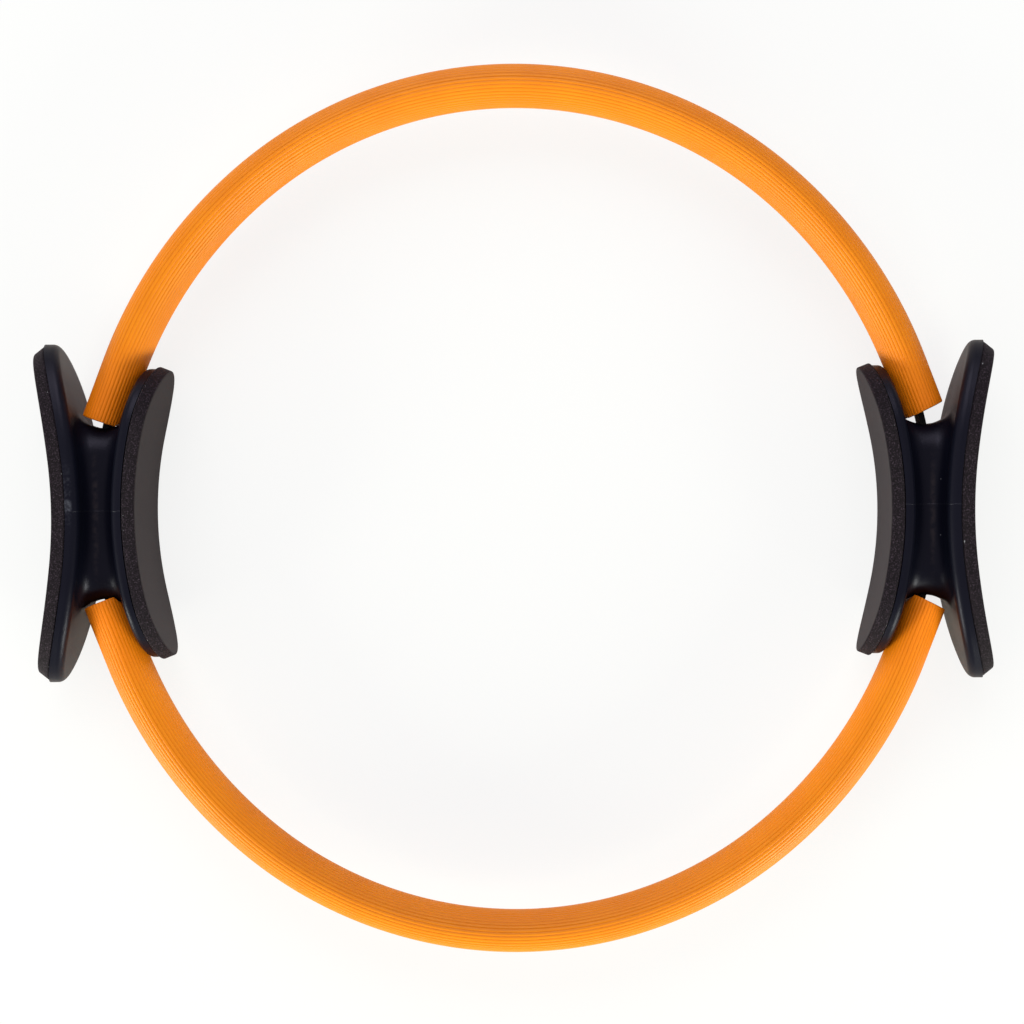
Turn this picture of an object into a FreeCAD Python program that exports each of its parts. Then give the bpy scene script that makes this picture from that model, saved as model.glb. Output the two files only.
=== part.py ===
"""Pilates ring: two sprung half-hoops in foam sleeves, pinned into two padded handles.

The ring lies flat on its handles. Its axis is +Z, the handles stand at -X and +X, and
the half-hoops bow towards +Y (upper) and -Y (lower). The origin is the middle of the
ring, on the plane that the handles rest on. Lengths are millimetres, angles degrees.
"""
import FreeCAD, Part

import math
import os
from collections import namedtuple

# Hoop line: the middle line of a sleeve, a crown arc, two flatter shoulders, straight ends
crown_radius = 173.5
crown_rise = 7.5            # height of the crown arc's centre over the ring's middle line
shoulder_angle = 50.0       # slope at which the crown passes into a shoulder
shoulder_radius = 190.7
straight_height = 62.66     # an end runs straight below this height over the middle line

# Foam sleeve: oval in section, its ends as far from the middle line as each one stops
sleeve_thick = 18.0
sleeve_depth = 28.0
right_upper_end = 42.2
right_lower_end = 39.1
left_upper_end = 37.9
left_lower_end = 37.5
sleeve_clear = 0.4          # between the bore and the leaves
press_clear = 0.3           # between a sleeve's pressed end and the handle

# Spring leaves: two flat strips, one inside the other, in each half-hoop
leaf_width = 12.0
leaf_thick = 1.2
leaf_gap = 0.1
leaf_inset = 0.8            # the pair runs this far inside the sleeve's middle line
leaf_tip_height = 6.0       # where a leaf ends, over the ring's middle line

# Handle: grip faces are hollow arcs, the outer one hollow outwards, the inner one inwards
handle_width = 50.0
outer_face_out = 13.64      # middle of the outer face, outside the hoop line
outer_face_radius = 204.0
outer_height = 143.5
outer_point = 20.0          # an end of the oval outline is this much longer than a round one
inner_face_in = 21.26       # middle of the inner face, inside the hoop line
inner_face_radius = 160.0
inner_height = 125.4
inner_point = 2.0
pad_thick = 5.9
glue_gap = 0.3
outer_bevel = 3.7           # a pad's grip face stops this much short at each end
inner_bevel = 2.05
outer_flange_thick = 5.4
inner_flange_thick = 4.4
outer_lip = 0.6             # the outer flange reaches this much past its pad at each end
inner_overhang = 1.0        # the inner pad reaches this much past its flange at each end
outer_rim_round = 3.6       # round of a flange's rim on its channel side
inner_rim_round = 3.0

# Waist: the column between the flanges, hollowed into a saddle all round
waist_half_height = 36.5    # from the ring's middle line to the bottom of a mouth
waist_half_depth = 14.0
waist_corner = 11.0         # round of the mouths' lips
mouth_share = 0.8           # round of a mouth, as a share of the gap between the flanges there
saddle_share = 0.48         # saddle radius as a share of the narrowest gap between the flanges
rim_share = 0.85            # a rim's round takes at most this share of the land beside the saddle

# Tunnel: takes the leaf ends
tunnel_clear = 0.2
tunnel_end_clear = 0.8

# Screw: from under the outer pad, through both leaves
screw_height = 18.0
shank_radius = 2.0
head_radius = 4.0
head_height = 2.2
head_round = 1.0
head_recess = 2.8
head_clear = 0.3
screw_length = 17.0
screw_fit = 0.05
leaf_hole_clear = 0.25
pilot_spare = 1.0           # the pilot hole is this much deeper than the screw
drive_length = 4.4
drive_width = 0.9
drive_depth = 1.1

overrun = 2.0               # how far every cut runs past what it cuts


def sine(angle):
    """Sine of an angle in degrees."""
    return math.sin(math.radians(angle))


def cosine(angle):
    """Cosine of an angle in degrees."""
    return math.cos(math.radians(angle))


# Places that follow from the sizes above
middle_z = handle_width / 2
half_width = handle_width / 2
pair_thick = 2 * leaf_thick + leaf_gap
leaf_shift = (leaf_thick + leaf_gap) / 2
shoulder_shift = shoulder_radius - crown_radius
shoulder_rise = crown_rise - shoulder_shift * sine(shoulder_angle)
end_lean = math.degrees(math.asin((straight_height - shoulder_rise) / shoulder_radius))
hoop_reach = math.sqrt(shoulder_radius ** 2 - shoulder_rise ** 2) - shoulder_shift * cosine(shoulder_angle)
outer_face_x = hoop_reach + outer_face_out
inner_face_x = hoop_reach - inner_face_in

ORIGIN = FreeCAD.Vector(0, 0, 0)
Z_AXIS = FreeCAD.Vector(0, 0, 1)
X_AXIS = FreeCAD.Vector(1, 0, 0)

# A quarter of the hoop: side is +1 at the right handle, half is +1 in the upper half
Quarter = namedtuple("Quarter", "side half")
# A grip: the arc centre of its face, its hollow direction and the sizes along it
Grip = namedtuple("Grip", "centre_x sign radius height point bevel flange_thick lip rim_round")

outer_grip = Grip(outer_face_x + outer_face_radius, -1, outer_face_radius, outer_height,
                  outer_point, outer_bevel, outer_flange_thick, outer_lip, outer_rim_round)
inner_grip = Grip(inner_face_x - inner_face_radius, 1, inner_face_radius, inner_height,
                  inner_point, inner_bevel, inner_flange_thick, -inner_overhang, inner_rim_round)


def at(x, y, z=middle_z):
    """A point, on the ring's middle plane unless z is given."""
    return FreeCAD.Vector(x, y, z)


def bearing(slope, quarter):
    """Angle about Z of the hoop's outward direction where its slope is as given."""
    turned = quarter.half * slope
    return turned if quarter.side > 0 else quarter.half * 180 - turned


def crown_centre(half):
    """Centre of the crown arc of one half-hoop."""
    return at(0, half * crown_rise)


def shoulder_centre(quarter):
    """Centre of a shoulder arc, which leaves the crown with no kink."""
    return at(-quarter.side * shoulder_shift * cosine(shoulder_angle), quarter.half * shoulder_rise)


def shoulder_slope(radius, height):
    """Slope of a shoulder arc of this radius at a height over the ring's middle line."""
    return math.degrees(math.asin((height - shoulder_rise) / radius))


def oval_section(centre, radius):
    """Sleeve section, upright, at a radius from an arc's centre along X."""
    middle = centre + X_AXIS * radius
    ellipse = Part.Ellipse(middle + Z_AXIS * (sleeve_depth / 2), middle + X_AXIS * (sleeve_thick / 2), middle)
    return Part.Face(Part.Wire(ellipse.toShape()))


def strip_section(centre, radius, thick, width):
    """Upright rectangle, thick along X and wide along Z, at a radius from an arc's centre."""
    middle = centre + X_AXIS * radius
    across = X_AXIS * (thick / 2)
    up = Z_AXIS * (width / 2)
    corners = [middle - across - up, middle + across - up, middle + across + up, middle - across + up]
    return Part.Face(Part.makePolygon(corners + corners[:1]))


def swept(section, centre, start, end):
    """Section carried about Z round an arc's centre, from one angle to another."""
    turned = section.copy()
    turned.rotate(centre, Z_AXIS, start)
    return turned.revolve(centre, Z_AXIS, end - start)


def hoop_arcs(half, inset, section, right_slope, left_slope):
    """Crown and both shoulders of a half-hoop, ending at the slopes given.

    section is a function of an arc's centre and a radius.
    """
    right, left = Quarter(1, half), Quarter(-1, half)
    crown = crown_centre(half)
    pieces = [swept(section(crown, crown_radius - inset), crown,
                    bearing(shoulder_angle, right), bearing(shoulder_angle, left))]
    for quarter, slope in ((right, right_slope), (left, left_slope)):
        centre = shoulder_centre(quarter)
        pieces.append(swept(section(centre, shoulder_radius - inset), centre,
                            bearing(shoulder_angle, quarter), bearing(slope, quarter)))
    return pieces


def fused(pieces):
    """One solid from pieces that meet face to face."""
    return pieces[0].multiFuse(pieces[1:]).Solids[0]


def straight_end(quarter, end_height):
    """Straight end of a sleeve, from its shoulder down to end_height."""
    centre = shoulder_centre(quarter)
    section = oval_section(centre, shoulder_radius)
    section.rotate(centre, Z_AXIS, bearing(end_lean, quarter))
    length = (straight_height - end_height) / cosine(end_lean)
    return section.extrude(at(quarter.side * sine(end_lean), -quarter.half * cosine(end_lean), 0) * length)


def sleeve(half, right_end, left_end, handle_room):
    """Foam sleeve of a half-hoop, bored for the leaves and pressed against the handles."""
    pieces = hoop_arcs(half, 0, oval_section, end_lean, end_lean)
    pieces += [straight_end(Quarter(1, half), right_end), straight_end(Quarter(-1, half), left_end)]

    def bore_section(centre, radius):
        return strip_section(centre, radius, pair_thick + 2 * sleeve_clear, leaf_width + 2 * sleeve_clear)

    reach = shoulder_slope(shoulder_radius, leaf_tip_height)
    bore = fused(hoop_arcs(half, leaf_inset, bore_section, reach, reach))
    return fused(pieces).cut(bore).cut(handle_room)


def leaf(half, shift):
    """Flat spring leaf, drilled near both ends; shift moves it outwards in the pair."""
    inset = leaf_inset - shift
    slope = shoulder_slope(shoulder_radius - inset, leaf_tip_height)

    def leaf_section(centre, radius):
        return strip_section(centre, radius, leaf_thick, leaf_width)

    strip = fused(hoop_arcs(half, inset, leaf_section, slope, slope))
    hole = Part.makeCylinder(shank_radius + leaf_hole_clear, 2 * outer_face_x,
                             at(-outer_face_x, half * screw_height), X_AXIS)
    return strip.cut(hole)


def grip_x(grip, depth, y):
    """X of the surface that lies depth behind a grip face, at y."""
    return grip.centre_x + grip.sign * math.sqrt((grip.radius + depth) ** 2 - y ** 2)


def grip_arc(grip, depth, limit):
    """Arc depth behind a grip face, on the resting plane, from -limit to +limit along Y."""
    points = [at(grip_x(grip, depth, y), y, 0) for y in (-limit, 0, limit)]
    return Part.Arc(*points).toShape()


def plate(near_grip, near, far_grip, far, limit, half_depth=half_width):
    """Upright plate between two arcs, reaching half_depth to each side of the middle plane."""
    edges = [grip_arc(near_grip, near, limit), grip_arc(far_grip, far, limit)]
    for y in (-limit, limit):
        ends = [at(grip_x(near_grip, near, y), y, 0), at(grip_x(far_grip, far, y), y, 0)]
        edges.append(Part.makeLine(*ends))
    face = Part.Face(Part.Wire(Part.__sortEdges__(edges)))
    face.translate(Z_AXIS * (middle_z - half_depth))
    return face.extrude(Z_AXIS * (2 * half_depth))


def outline(x, height, point):
    """Oval outline across X, as wide as the handle: straight sides and half-ellipse ends."""
    run = height / 2 - half_width - point
    edges = []
    for end, low, high in ((1, 0, handle_width), (-1, handle_width, 0)):
        ellipse = Part.Ellipse(at(x, end * height / 2), at(x, end * run, high), at(x, end * run))
        edges += [Part.makeLine(at(x, -end * run, low), at(x, end * run, low)),
                  Part.ArcOfEllipse(ellipse, -math.pi / 2, math.pi / 2).toShape()]
    return Part.Wire(edges)


def pad(grip):
    """Foam slab on one flange: hollow grip face, ends cut on a bevel."""
    tip_x = grip_x(grip, 0, grip.height / 2)
    root_x = grip_x(grip, pad_thick, 0)
    slope = grip.bevel / pad_thick
    tip_height = grip.height - 2 * grip.bevel
    root_height = tip_height + 2 * slope * abs(root_x - tip_x)
    ends = [outline(tip_x, tip_height, grip.point), outline(root_x, root_height, grip.point)]
    slab = plate(grip, 0, grip, pad_thick - glue_gap, grip.height / 2 + overrun)
    return slab.common(Part.makeLoft(ends, True, True))


def flange(grip, grow):
    """Oval curved plate behind a pad; grow thickens its channel side and rim."""
    height = grip.height + 2 * (grip.lip + grow)
    far = pad_thick + grip.flange_thick + grow
    start, end = sorted((grip_x(grip, 0, height / 2), grip_x(grip, far, 0)))
    face = Part.Face(outline(start - overrun, height, grip.point))
    block = face.extrude(X_AXIS * (end - start + 2 * overrun))
    return plate(grip, pad_thick, grip, far, height / 2 + overrun).common(block)


def channel_x(grip, y):
    """X of a flange's channel side at y."""
    return grip_x(grip, pad_thick + grip.flange_thick, y)


def mouth_radius():
    """Round of a mouth, seen along the ring's axis."""
    return mouth_share * (channel_x(outer_grip, waist_half_height) - channel_x(inner_grip, waist_half_height))


def mouth_cut(half, grow):
    """Spool about Z that hollows one end of the waist: a round mouth, flared to its lips."""
    mouth, corner, depth = mouth_radius() - grow, waist_corner + grow, waist_half_depth + grow
    middle_x = (channel_x(outer_grip, waist_half_height) + channel_x(inner_grip, waist_half_height)) / 2
    foot = at(middle_x, half * (waist_half_height + mouth_radius()))
    bulge = corner * (1 - cosine(45))

    def spool_point(radius, height):
        return foot + X_AXIS * radius + Z_AXIS * height

    low, high = spool_point(mouth + corner, -depth), spool_point(mouth + corner, depth)
    ledge, shoulder = spool_point(mouth, corner - depth), spool_point(mouth, depth - corner)
    edges = [Part.Arc(low, spool_point(mouth + bulge, bulge - depth), ledge).toShape(),
             Part.makeLine(ledge, shoulder),
             Part.Arc(shoulder, spool_point(mouth + bulge, depth - bulge), high).toShape(),
             Part.makePolygon([high, spool_point(0, depth), spool_point(0, -depth), low])]
    return Part.Face(Part.Wire(edges)).revolve(foot, Z_AXIS, 360)


def waist(grow):
    """Column between the flanges, with a round mouth at each end."""
    column = plate(inner_grip, pad_thick + inner_flange_thick / 2,
                   outer_grip, pad_thick + outer_flange_thick / 2,
                   waist_half_height + mouth_radius(), waist_half_depth + grow)
    return column.cut(mouth_cut(1, grow)).cut(mouth_cut(-1, grow))


def channel_edges(shape, grip, grow, on_waist):
    """Edges on a flange's channel side: those round the waist, or else its rim."""
    radius = grip.radius + pad_thick + grip.flange_thick + grow
    slack = glue_gap / 2
    found = []
    for edge in shape.Edges:
        points = edge.discretize(5)
        if max(abs(math.hypot(p.x - grip.centre_x, p.y) - radius) for p in points) > slack:
            continue
        inside = all(abs(p.y) < waist_half_height + mouth_radius()
                     and abs(p.z - middle_z) < waist_half_depth + grow + slack for p in points)
        if inside == on_waist:
            found.append(edge)
    return found


def handle_core(grow):
    """Both flanges and the waist in one, with the saddle and the rounded rims."""
    core = waist(grow).multiFuse([flange(outer_grip, grow), flange(inner_grip, grow)]).Solids[0]
    saddle = saddle_share * (channel_x(outer_grip, 0) - channel_x(inner_grip, 0))
    land = half_width - waist_half_depth - saddle
    for grip in (outer_grip, inner_grip):
        core = core.makeFillet(saddle - grow, channel_edges(core, grip, grow, True))
    for grip in (outer_grip, inner_grip):
        rim = min(grip.rim_round, rim_share * land)
        core = core.makeFillet(rim + grow, channel_edges(core, grip, grow, False))
    return core


def tunnel(half):
    """Curved slot from a mouth of the right handle down to the leaf ends."""
    quarter = Quarter(1, half)
    centre = shoulder_centre(quarter)
    radius = shoulder_radius - leaf_inset
    section = strip_section(centre, radius, pair_thick + 2 * tunnel_clear, leaf_width + 2 * tunnel_clear)
    low = shoulder_slope(radius, leaf_tip_height - tunnel_end_clear)
    high = shoulder_slope(radius, waist_half_height + overrun)
    return swept(section, centre, bearing(low, quarter), bearing(high, quarter))


def screw_seat_x():
    """X of the counterbore floor that the screw heads sit on."""
    return grip_x(outer_grip, pad_thick, screw_height) - head_recess


def screw_hole(half):
    """Counterbore and pilot hole for one screw of the right handle."""
    seat = at(screw_seat_x(), half * screw_height)
    bore = Part.makeCylinder(head_radius + head_clear, head_recess + overrun, seat, X_AXIS)
    pilot = Part.makeCylinder(shank_radius + screw_fit, screw_length + pilot_spare, seat, -X_AXIS)
    return bore.fuse(pilot)


def screw(half):
    """Pan-head screw of the right handle, with a cross recess."""
    seat = at(screw_seat_x(), half * screw_height)
    head = Part.makeCylinder(head_radius, head_height, seat, X_AXIS)
    rim = [edge for edge in head.Edges if edge.BoundBox.XMin > seat.x + head_height / 2]
    shank = Part.makeCylinder(shank_radius, screw_length, seat, -X_AXIS)
    body = head.makeFillet(head_round, rim).fuse(shank)
    floor_x = seat.x + head_height - drive_depth
    for wide, tall in ((drive_length, drive_width), (drive_width, drive_length)):
        corner = at(floor_x, seat.y - wide / 2, middle_z - tall / 2)
        body = body.cut(Part.makeBox(drive_depth + overrun, wide, tall, corner))
    return body


def handle_body():
    """Moulded body of the right handle, with its two tunnels and screw holes."""
    body = handle_core(0)
    for half in (1, -1):
        body = body.cut(tunnel(half)).cut(screw_hole(half))
    return body


def at_left(shape):
    """The same piece on the left handle: half a turn about the ring's axis."""
    turned = shape.copy()
    turned.rotate(ORIGIN, Z_AXIS, 180)
    return turned


def build():
    """Every piece of the ring, by name."""
    room = handle_core(press_clear)
    room = room.fuse(at_left(room))
    pieces = {
        "upper_sleeve": sleeve(1, right_upper_end, left_upper_end, room),
        "lower_sleeve": sleeve(-1, right_lower_end, left_lower_end, room),
        "right_handle_body": handle_body(),
        "right_outer_pad": pad(outer_grip),
        "right_inner_pad": pad(inner_grip),
    }
    for name, half in (("upper", 1), ("lower", -1)):
        pieces[f"{name}_outer_leaf"] = leaf(half, leaf_shift)
        pieces[f"{name}_inner_leaf"] = leaf(half, -leaf_shift)
        pieces[f"right_{name}_screw"] = screw(half)
        pieces[f"left_{name}_screw"] = at_left(screw(-half))
    for name in ("handle_body", "outer_pad", "inner_pad"):
        pieces[f"left_{name}"] = at_left(pieces[f"right_{name}"])
    return pieces


os.makedirs("parts", exist_ok=True)
for node, shape in build().items():
    shape.exportStep(f"parts/{node}.step")
    print(node, "solids", len(shape.Solids), "valid", shape.isValid(), "volume", round(shape.Volume))
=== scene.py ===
"""Looks of a pilates ring: ribbed foam sleeves on spring leaves, and padded saddle handles.

Lengths are metres and angles degrees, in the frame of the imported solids: the ring's axis is +Z,
the handles stand at -X and +X, and the half-hoops bow towards +Y (upper) and -Y (lower).
"""
import logging
import math
from dataclasses import dataclass, field
from enum import Enum
from typing import Any, Optional, Union

import bmesh
import bpy
import numpy as np
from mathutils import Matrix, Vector


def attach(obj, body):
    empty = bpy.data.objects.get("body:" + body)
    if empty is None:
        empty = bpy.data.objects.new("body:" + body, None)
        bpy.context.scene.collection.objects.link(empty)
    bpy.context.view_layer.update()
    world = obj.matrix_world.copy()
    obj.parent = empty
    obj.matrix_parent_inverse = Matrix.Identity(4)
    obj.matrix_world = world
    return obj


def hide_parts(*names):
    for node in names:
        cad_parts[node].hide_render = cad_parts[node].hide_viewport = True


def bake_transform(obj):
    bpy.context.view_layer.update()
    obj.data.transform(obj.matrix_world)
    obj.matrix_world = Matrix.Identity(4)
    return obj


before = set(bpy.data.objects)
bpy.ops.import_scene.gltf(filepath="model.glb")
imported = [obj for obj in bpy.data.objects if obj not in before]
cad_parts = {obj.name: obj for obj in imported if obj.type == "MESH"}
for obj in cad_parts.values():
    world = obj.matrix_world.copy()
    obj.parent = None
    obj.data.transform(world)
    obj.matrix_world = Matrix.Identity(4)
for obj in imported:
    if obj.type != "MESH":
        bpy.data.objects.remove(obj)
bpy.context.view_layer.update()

LOG = logging.getLogger("pilates_ring")
Colour = tuple[float, float, float, float]
Triple = tuple[float, float, float]
Span = tuple[float, float]
WHITE: Colour = (1.0, 1.0, 1.0, 1.0)
UNIT_SQUARE = np.array([[-1, -1], [1, -1], [1, 1], [-1, 1]]) / 2


class Choice(Enum):
    """A choice among pieces that are alike."""

    @property
    def word(self) -> str:
        """The choice's word in the names of pieces."""
        return self.name.lower()


class Half(Choice):
    """The two half-hoops, as the sign of their Y."""

    UPPER = 1
    LOWER = -1


class Side(Choice):
    """The two handles, as the sign of their X."""

    RIGHT = 1
    LEFT = -1


class Leaf(Choice):
    """The two leaves of a half-hoop, as the sign of their place outwards from their middle."""

    OUTER = 1
    INNER = -1


class Detail(Enum):
    """How finely a noise is broken up, as its node's own measure."""

    SOFT = 2.0
    FINE = 3.0
    BROKEN = 4.0


def screen(red: int, green: int, blue: int) -> Colour:
    """Linear colour of a screen colour.

    A screen value v from 0 to 1 is ((v + 0.055) / 1.055) ^ 2.4 in linear light, or v / 12.92 where
    it is under 0.04045.

    Args:
        red, green, blue: Screen values from 0 to 255.

    Returns:
        The colour in linear light, opaque.
    """
    values = np.array([red, green, blue]) / 255
    linear = np.where(values > 0.04045, ((values + 0.055) / 1.055) ** 2.4, values / 12.92)
    return (*linear.tolist(), 1.0)


# Shader sums


class Signal:
    """A shader socket that takes part in sums as a number does."""

    def __init__(self, graph: "Graph", socket: bpy.types.NodeSocket) -> None:
        """Keeps the socket and the graph that it belongs to."""
        self.graph = graph
        self.socket = socket

    def sum_of(self, operation: str, *terms: "Term") -> "Signal":
        """Adds one Math node.

        Args:
            operation: The Math node's operation.
            terms: Numbers or signals, in the order of its sockets.

        Returns:
            The node's result.
        """
        return self.graph.node("ShaderNodeMath", {"operation": operation}, dict(enumerate(terms)))

    def other(self, output: str) -> "Signal":
        """Another output of the same node."""
        return Signal(self.graph, self.socket.node.outputs[output])

    def __add__(self, term: "Term") -> "Signal":
        """self + term"""
        return self.sum_of("ADD", self, term)

    def __radd__(self, term: "Term") -> "Signal":
        """term + self"""
        return self.sum_of("ADD", term, self)

    def __sub__(self, term: "Term") -> "Signal":
        """self - term"""
        return self.sum_of("SUBTRACT", self, term)

    def __rsub__(self, term: "Term") -> "Signal":
        """term - self"""
        return self.sum_of("SUBTRACT", term, self)

    def __mul__(self, term: "Term") -> "Signal":
        """self * term"""
        return self.sum_of("MULTIPLY", self, term)

    def __rmul__(self, term: "Term") -> "Signal":
        """term * self"""
        return self.sum_of("MULTIPLY", term, self)

    def __pow__(self, term: "Term") -> "Signal":
        """self ** term"""
        return self.sum_of("POWER", self, term)

    def __abs__(self) -> "Signal":
        """abs(self)"""
        return self.sum_of("ABSOLUTE", self)

    def rise(self, low: float, high: float) -> "Signal":
        """Smooth step from 0 at low to 1 at high.

        Args:
            low: Where the step is 0.
            high: Where it is 1; under low, the step falls instead.

        Returns:
            The step.
        """
        ends = (low, high, 0.0, 1.0) if high > low else (high, low, 1.0, 0.0)
        return self.graph.node("ShaderNodeMapRange", {"interpolation_type": "SMOOTHSTEP"},
                               dict(enumerate((self, *ends))))

    def around(self, middle: float, width: float) -> "Signal":
        """Number that strays from its middle by half the width, as this goes from 0 to 1."""
        return middle + width * (self - 0.5)


Term = Union[float, Signal]


class Graph:
    """The shader nodes of one material, or of the world."""

    SHARE, TO_MIN, TO_MAX = 0, 3, 4
    COLOUR_A, COLOUR_B, COLOUR_RESULT = 6, 7, 2

    def __init__(self, owner: Union[bpy.types.Material, bpy.types.World]) -> None:
        """Starts with no nodes.

        Args:
            owner: The material or the world that the nodes belong to.
        """
        owner.use_nodes = True
        self.owner = owner
        self.tree = owner.node_tree
        self.tree.nodes.clear()

    def node(self, kind: str, settings: dict[str, Any], sockets: dict[Any, Any],
             output: Union[int, str] = 0) -> Signal:
        """Adds a node of any kind.

        Args:
            kind: The node's type.
            settings: Its properties, set first.
            sockets: Values or signals for its inputs, by name or number.
            output: The output to return, by name or number.

        Returns:
            That output as a signal.
        """
        made = self.tree.nodes.new(kind)
        for name, value in settings.items():
            setattr(made, name, value)
        for name, value in sockets.items():
            if isinstance(value, Signal):
                self.tree.links.new(value.socket, made.inputs[name])
            else:
                made.inputs[name].default_value = value
        return Signal(self, made.outputs[output])

    def place(self) -> Signal:
        """Object coordinates."""
        return self.node("ShaderNodeTexCoord", {}, {}, "Object")

    def axis(self, place: Signal, name: str) -> Signal:
        """One of a place's X, Y and Z."""
        return self.node("ShaderNodeSeparateXYZ", {}, {0: place}, name)

    def own(self, attribute: str) -> Signal:
        """A number that the mesh carries at each of its points."""
        return self.node("ShaderNodeAttribute", {"attribute_name": attribute}, {}, "Fac")

    def noise(self, place: Signal, grain: float, detail: Detail) -> Signal:
        """Cloudy noise from 0 to 1 whose features are about grain wide."""
        return self.node("ShaderNodeTexNoise", {},
                         {"Vector": place, "Scale": 1 / grain, "Detail": detail.value})

    def between(self, share: Signal, first: Term, last: Term) -> Signal:
        """Number that goes from first to last as share goes from 0 to 1."""
        return self.node("ShaderNodeMapRange", {},
                         {self.SHARE: share, self.TO_MIN: first, self.TO_MAX: last})

    def mix(self, share: Term, first: Any, second: Any) -> Signal:
        """Colour that goes from first to second as share goes from 0 to 1."""
        return self.node("ShaderNodeMix", {"data_type": "RGBA"},
                         {self.SHARE: share, self.COLOUR_A: first, self.COLOUR_B: second},
                         self.COLOUR_RESULT)

    def bump(self, height: Signal, depth: float) -> Signal:
        """Normal of a surface raised by height (0 to 1) times depth."""
        return self.node("ShaderNodeBump", {},
                         {"Height": height, "Distance": depth, "Strength": 1.0})

    def surface(self, **sockets: Any) -> bpy.types.Material:
        """Ends a material's graph in a surface shader.

        Args:
            sockets: Values or signals, by socket name with _ for a space.

        Returns:
            The finished material.
        """
        named = {name.replace("_", " "): value for name, value in sockets.items()}
        self.end(self.node("ShaderNodeBsdfPrincipled", {}, named), "ShaderNodeOutputMaterial")
        return self.owner

    def end(self, shader: Signal, kind: str) -> None:
        """Links a shader to an output node of that kind."""
        out = self.tree.nodes.new(kind)
        self.tree.links.new(shader.socket, out.inputs["Surface"])


# Finishes. A Span gives the two values between which a tone or a mark comes in, none first.


@dataclass(frozen=True)
class SleeveFoam:
    """Orange foam skin: satin ribs, painted shade in the grooves and painted orange bounce light at
    the ends.
    """

    name: str = "sleeve_foam_orange"
    crest: Colour = screen(232, 132, 10)
    # painted shade: the darker tone laid in the grooves between the ribs
    groove_shade: Colour = screen(224, 121, 6)
    blush: Colour = screen(228, 127, 9)
    # painted light: the redder tone towards the ends stands for orange light bounced between sleeve
    # and handle, and the handle's shade
    end: Colour = screen(247, 130, 12)
    fuzz: Colour = screen(255, 214, 160)
    blush_span: Span = (0.35, 0.7)
    end_bounce_span: Span = (0.082, 0.042)
    groove_span: Span = (0.75, 0.0)
    cloud: float = 0.018
    pore: float = 0.0011
    pore_depth: float = 0.00001
    roughness: float = 0.4
    pore_roughness: float = 0.06
    gloss: float = 0.24
    sheen: float = 0.03
    sheen_roughness: float = 0.4

    def build(self) -> bpy.types.Material:
        """Lays the tones over each other, with fine pores as bump.

        Returns:
            The material.
        """
        graph = Graph(bpy.data.materials.new(self.name))
        place = graph.place()
        pores = graph.noise(place, self.pore, Detail.FINE)
        cloud = graph.noise(place, self.cloud, Detail.SOFT)
        skin = graph.mix(cloud.rise(*self.blush_span), self.crest, self.blush)
        # painted light: redder towards the ends, for orange bounce light and shade near the handles
        skin = graph.mix(abs(graph.axis(place, "Y")).rise(*self.end_bounce_span), skin, self.end)
        # painted shade: darker where the rib height falls into the grooves
        tone = graph.mix(graph.own("crest").rise(*self.groove_span), skin, self.groove_shade)
        return graph.surface(Base_Color=tone,
                             Roughness=pores.around(self.roughness, self.pore_roughness),
                             Specular_IOR_Level=self.gloss, Sheen_Weight=self.sheen,
                             Sheen_Roughness=self.sheen_roughness, Sheen_Tint=self.fuzz,
                             Normal=graph.bump(pores, self.pore_depth))


@dataclass(frozen=True)
class PadFoam:
    """Black foam: a fine even skin on the faces, open grain where it is cut, and traces of glue."""

    name: str = "pad_foam_black"
    skin: Colour = screen(31, 26, 31)
    skin_dark: Colour = screen(26, 22, 26)
    cut: Colour = screen(31, 23, 31)
    cut_dark: Colour = screen(13, 8, 13)
    fleck: Colour = screen(76, 64, 76)
    fuzz: Colour = (1.0, 0.86, 0.96, 1.0)
    glue: Colour = screen(150, 150, 156)
    cut_span: Span = (0.3, 0.7)
    cell_span: Span = (0.3, 0.66)
    fleck_span: Span = (0.54, 0.7)
    fleck_most: float = 0.65
    glue_edge: Span = (1.2, 1.9)
    glue_span: Span = (0.68, 0.74)
    skin_span: Span = (0.3, 0.7)
    grain: float = 0.00056
    skin_grain: float = 0.00045
    glue_grain: float = 0.0016
    cut_depth: float = 0.00028
    skin_depth: float = 0.00003
    roughness: float = 0.86
    skin_polish: float = 0.1
    gloss: float = 0.16
    sheen: float = 0.08
    sheen_roughness: float = 0.35

    def build(self) -> bpy.types.Material:
        """Lays open cells, flecks and glue where the mesh says it is cut, and skin elsewhere.

        Returns:
            The material.
        """
        graph = Graph(bpy.data.materials.new(self.name))
        place = graph.place()
        carried = graph.own("cut")
        cut = carried.rise(*self.cut_span)
        grain = graph.noise(place, self.grain, Detail.BROKEN)
        fine = graph.noise(place, self.skin_grain, Detail.SOFT)
        spots = graph.noise(place, self.glue_grain, Detail.FINE)
        cells = graph.mix(grain.rise(*self.cell_span), self.cut_dark, self.cut)
        cells = graph.mix(grain.rise(*self.fleck_span) * self.fleck_most, cells, self.fleck)
        glue = carried.rise(*self.glue_edge) * spots.rise(*self.glue_span)
        cells = graph.mix(glue, cells, self.glue)
        skin = graph.mix(fine.rise(*self.skin_span), self.skin_dark, self.skin)
        height = cut * grain + (1 - cut) * fine * (self.skin_depth / self.cut_depth)
        return graph.surface(Base_Color=graph.mix(cut, skin, cells),
                             Roughness=self.roughness - self.skin_polish * (1 - cut),
                             Specular_IOR_Level=self.gloss, Sheen_Weight=self.sheen,
                             Sheen_Roughness=self.sheen_roughness, Sheen_Tint=self.fuzz,
                             Normal=graph.bump(height, self.cut_depth))


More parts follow.
